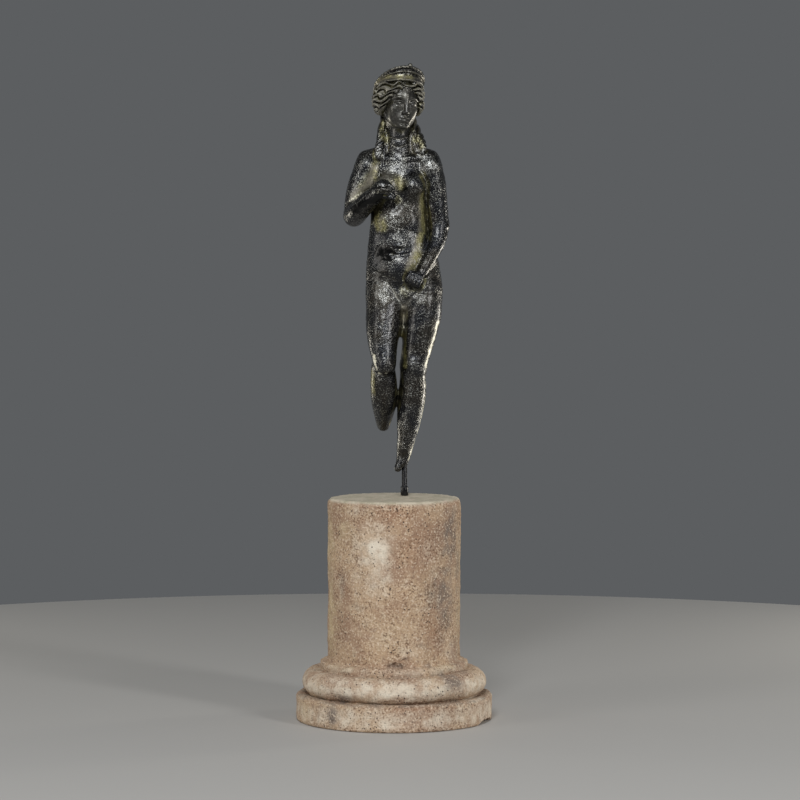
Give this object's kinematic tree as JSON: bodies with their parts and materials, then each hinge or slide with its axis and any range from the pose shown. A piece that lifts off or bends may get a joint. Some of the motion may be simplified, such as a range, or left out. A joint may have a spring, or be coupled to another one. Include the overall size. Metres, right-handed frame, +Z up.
{
  "type": "bronze statuette on a column base",
  "caption": "Dark bronze statuette of a nude goddess with a diadem, broken at the ankles, held by a thin rod on a small round stone column base.",
  "frame": {"origin": "middle of the column's underside", "axes": "+Z up along the column, -Y towards the figure's front, +X to the viewer's right"},
  "size_m": [0.13, 0.13, 0.4369],
  "materials": {
    "stone": "warm beige and pinkish granular stone, pitted and unpolished, with pale lime bloom and dark dirt in the grooves",
    "black_steel": "smooth glossy black",
    "bronze": "almost black old bronze, worn glossy, with pale grey mineral speckle and olive yellow in the recesses"
  },
  "bodies": {
    "root": {"column_base": "stone", "mounting_rod": "black_steel", "figure": "bronze"}
  },
  "joints": []
}
